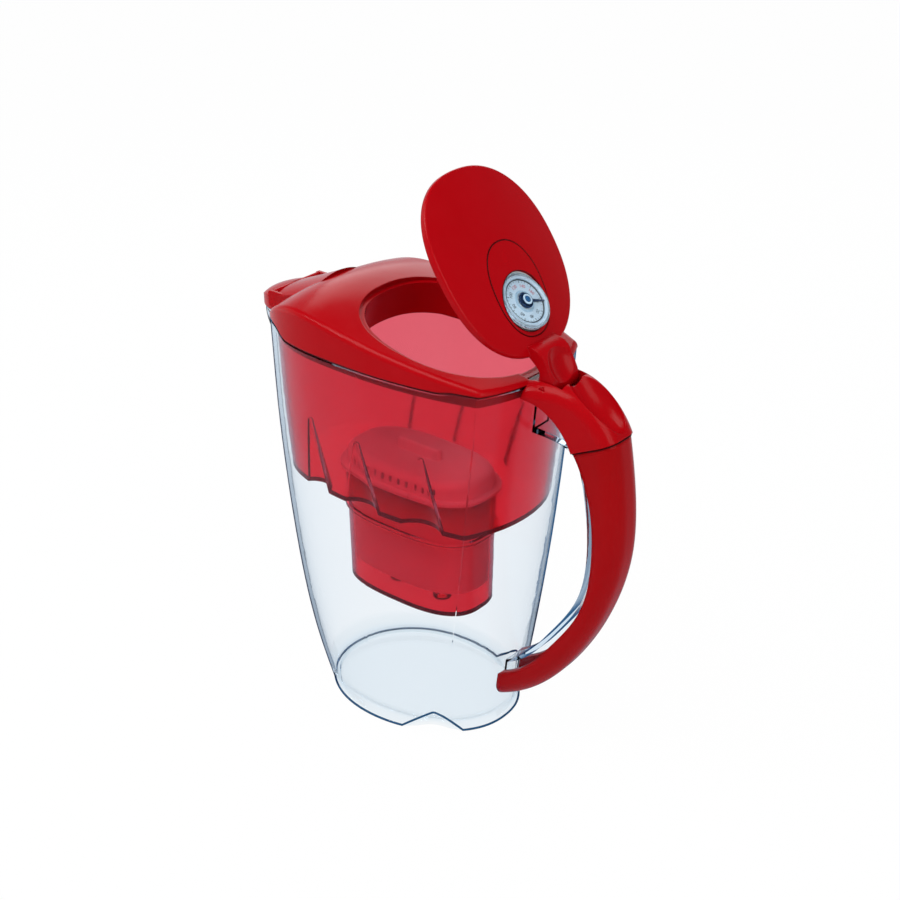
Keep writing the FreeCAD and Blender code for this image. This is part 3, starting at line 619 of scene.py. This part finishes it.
def dress_edges():
    # Dark navy line along the lower edge of the clear foot: a painted dark reflection where the foot is seen
    # edge on
    painted_edge_colour = moulded_plastic("foot_painted_dark_edge", (0.012, 0.060, 0.14), (0.022, 0.095, 0.20), gloss=0.2)
    foot_edge = sharp_edges("jug_body", on_foot_edge, Vector((0, 0, FOOT_EDGE_LINE_LIFT)))
    lay_bead("foot_painted_edge_line", foot_edge, FOOT_EDGE_LINE_RADIUS, "jug", painted_edge_colour)
    seam_shade = moulded_plastic("seam_shade", (0.030, 0.0010, 0.0015), (0.045, 0.0015, 0.0020), gloss=0.4)
    cover_end = sharp_edges("handle_cover", on_handle_seam, -SEAM_RADIUS * SEAM_NORMAL)
    lay_bead("handle_seam", cover_end, SEAM_RADIUS, "jug", seam_shade)
    plate_rim = sharp_edges("indicator_plate", on_plate_rim, Vector((0, 0, 0)))
    lay_bead("plate_seam", plate_rim, PLATE_SEAM_RADIUS, "flip", seam_shade)


dress_edges()


# Floor, backdrop, light and camera

FLOOR_REACH = 6.0
FLOOR_DROP = 0.0002
FLOOR_COLOUR = (0.86, 0.87, 0.88)
FLOOR_GLOW = 0.98
FLOOR_BACK_RANGE = (-0.15, 0.45)
MIRRORED_FLOOR = (0.22, 0.28, 0.36)
MIRRORED_BACK = (0.72, 0.78, 0.84)
MIRRORED_HORIZON = (0.12, 0.15, 0.19)
MIRRORED_CEILING = (0.03, 0.05, 0.08)
BACKWARDS = (-0.65, 0.76, 0)
SKY_BACK_RANGE = (0.2, 0.9)
CEILING_RANGE = (0.10, 0.60)
CLEAR_CEILING = (0.05, 0.12, 0.24)
WHITE = (1, 1, 1)
SOFT_LIGHT = (0.95, 0.98, 1.0)
SOFT_STRENGTH = 0.55
HALF_BOUNCE = 0.5
CAMERA_PLACE = (0.5509, -0.6420, 0.5987)
CAMERA_TARGET = (0.02788, 0, 0.17022)
CAMERA_LENS = 64.05
CAMERA_SENSOR = 36
CAMERA_NEAR = 0.01
LOW_TARGET = (0, 0, 0.15)
HIGH_TARGET = (0, 0, 0.2)


def towards_back(tree, place, start, end):
    """How far a place on the stage lies towards its bright far side."""
    dot = tree.nodes.new("ShaderNodeVectorMath")
    dot.operation = "DOT_PRODUCT"
    dot.inputs[1].default_value = BACKWARDS
    tree.links.new(place, dot.inputs[0])
    return spread(tree, dot.outputs["Value"], 0, 1, start, end)


def ray_kinds(tree):
    """Rays of the camera, rays that show the background itself, seen or through a clear piece, and rays
    that mirror it anywhere."""
    path = tree.nodes.new("ShaderNodeLightPath")
    camera = path.outputs["Is Camera Ray"]
    bounced = combine(tree, "GREATER_THAN", path.outputs["Glossy Depth"], HALF_BOUNCE)
    shiny = combine(tree, "MAXIMUM", path.outputs["Is Glossy Ray"], path.outputs["Is Transmission Ray"])
    mirrored = combine(tree, "MULTIPLY", shiny, bounced)
    through = combine(tree, "MULTIPLY", shiny, combine(tree, "SUBTRACT", 1, bounced))
    return camera, combine(tree, "MAXIMUM", camera, through), mirrored


def layer_shaders(tree, base, layers):
    """Base shader with others over it, each by its factor."""
    shown = base
    for factor, layer in layers:
        mix = tree.nodes.new("ShaderNodeMixShader")
        tree.links.new(factor, mix.inputs["Fac"])
        tree.links.new(shown, mix.inputs[1])
        tree.links.new(layer, mix.inputs[2])
        shown = mix.outputs["Shader"]
    return shown


def pale_floor():
    """Pale floor that is white where the camera or a clear piece shows it, and dim in reflections."""
    mesh = bpy.data.meshes.new("pale_floor")
    corners = [(x * FLOOR_REACH, y * FLOOR_REACH, 0) for x, y in ((-1, -1), (1, -1), (1, 1), (-1, 1))]
    mesh.from_pydata(corners, [], [(0, 1, 2, 3)])
    floor = bpy.data.objects.new("pale_floor", mesh)
    floor.location.z = -FLOOR_DROP
    bpy.context.scene.collection.objects.link(floor)
    material = bpy.data.materials.new("pale_floor")
    material.use_nodes = True
    tree = material.node_tree
    tree.nodes.clear()
    output = tree.nodes.new("ShaderNodeOutputMaterial")
    paper = tree.nodes.new("ShaderNodeBsdfDiffuse")
    paper.inputs["Color"].default_value = (*FLOOR_COLOUR, 1)
    glow = tree.nodes.new("ShaderNodeEmission")
    dim = tree.nodes.new("ShaderNodeEmission")
    back = towards_back(tree, object_coordinates(tree), *FLOOR_BACK_RANGE)
    tree.links.new(blend_colours(tree, back, MIRRORED_FLOOR, MIRRORED_BACK), dim.inputs["Color"])
    shown, mirrored = ray_kinds(tree)[1:]
    glow_share = combine(tree, "MULTIPLY", shown, FLOOR_GLOW)
    layers = ((glow_share, glow.outputs["Emission"]), (mirrored, dim.outputs["Emission"]))
    tree.links.new(layer_shaders(tree, paper.outputs["BSDF"], layers), output.inputs["Surface"])
    mesh.materials.append(material)


def studio_world():
    """Soft light for the object and white for the camera. Gloss mirrors a dim room with a bright far side,
    and clear pieces show white at the horizon and a dark ceiling, which draws their edges in dark blue."""
    world = bpy.data.worlds.new("studio_world")
    bpy.context.scene.world = world
    world.use_nodes = True
    tree = world.node_tree
    tree.nodes.clear()
    output = tree.nodes.new("ShaderNodeOutputWorld")
    outlook = tree.nodes.new("ShaderNodeTexCoord").outputs["Generated"]
    direction = tree.nodes.new("ShaderNodeSeparateXYZ")
    tree.links.new(outlook, direction.inputs["Vector"])
    height = spread(tree, direction.outputs["Z"], 0, 1, *CEILING_RANGE)
    back = towards_back(tree, outlook, *SKY_BACK_RANGE)
    mirrored_horizon = blend_colours(tree, back, MIRRORED_HORIZON, MIRRORED_BACK)
    mirrored_sky = blend_colours(tree, height, mirrored_horizon, MIRRORED_CEILING)
    clear_sky = blend_colours(tree, height, WHITE, CLEAR_CEILING)
    shades = []
    for colour, strength in ((SOFT_LIGHT, SOFT_STRENGTH), (mirrored_sky, 1), (clear_sky, 1), (WHITE, 1)):
        shade = tree.nodes.new("ShaderNodeBackground")
        shade.inputs["Strength"].default_value = strength
        if isinstance(colour, tuple):
            shade.inputs["Color"].default_value = (*colour, 1)
        else:
            tree.links.new(colour, shade.inputs["Color"])
        shades.append(shade.outputs["Background"])
    camera, shown, mirrored = ray_kinds(tree)
    layers = ((mirrored, shades[1]), (shown, shades[2]), (camera, shades[3]))
    tree.links.new(layer_shaders(tree, shades[0], layers), output.inputs["Surface"])


def stand_and_aim(name, device, place, target):
    """Lamp or camera at a place, turned towards a target."""
    stand = bpy.data.objects.new(name, device)
    stand.location = place
    stand.rotation_euler = (Vector(target) - Vector(place)).to_track_quat("-Z", "Y").to_euler()
    bpy.context.scene.collection.objects.link(stand)
    return stand


def soft_lamp(name, place, target, size, power):
    lamp = bpy.data.lights.new(name, "AREA")
    lamp.shape = "RECTANGLE"
    lamp.size, lamp.size_y = size
    lamp.energy = power
    stand_and_aim(name, lamp, place, target)


def photo_camera():
    device = bpy.data.cameras.new("photo_camera")
    device.sensor_width = CAMERA_SENSOR
    device.lens = CAMERA_LENS
    device.clip_start = CAMERA_NEAR
    bpy.context.scene.camera = stand_and_aim("photo_camera", device, CAMERA_PLACE, CAMERA_TARGET)


pale_floor()
studio_world()
soft_lamp("key_lamp", (-0.20, -0.55, 1.25), LOW_TARGET, size=(0.9, 0.7), power=8)
soft_lamp("side_lamp", (-1.10, -0.35, 0.45), LOW_TARGET, size=(0.7, 0.9), power=1.2)
soft_lamp("edge_lamp", (-0.60, -0.60, 0.90), HIGH_TARGET, size=(0.5, 0.06), power=1.5)
soft_lamp("fill_lamp", (0.95, -0.25, 0.75), LOW_TARGET, size=(0.6, 0.9), power=4)
soft_lamp("back_lamp", (-0.55, 0.85, 0.70), LOW_TARGET, size=(0.8, 0.6), power=2.5)
photo_camera()
bpy.context.scene.view_settings.view_transform = "Standard"
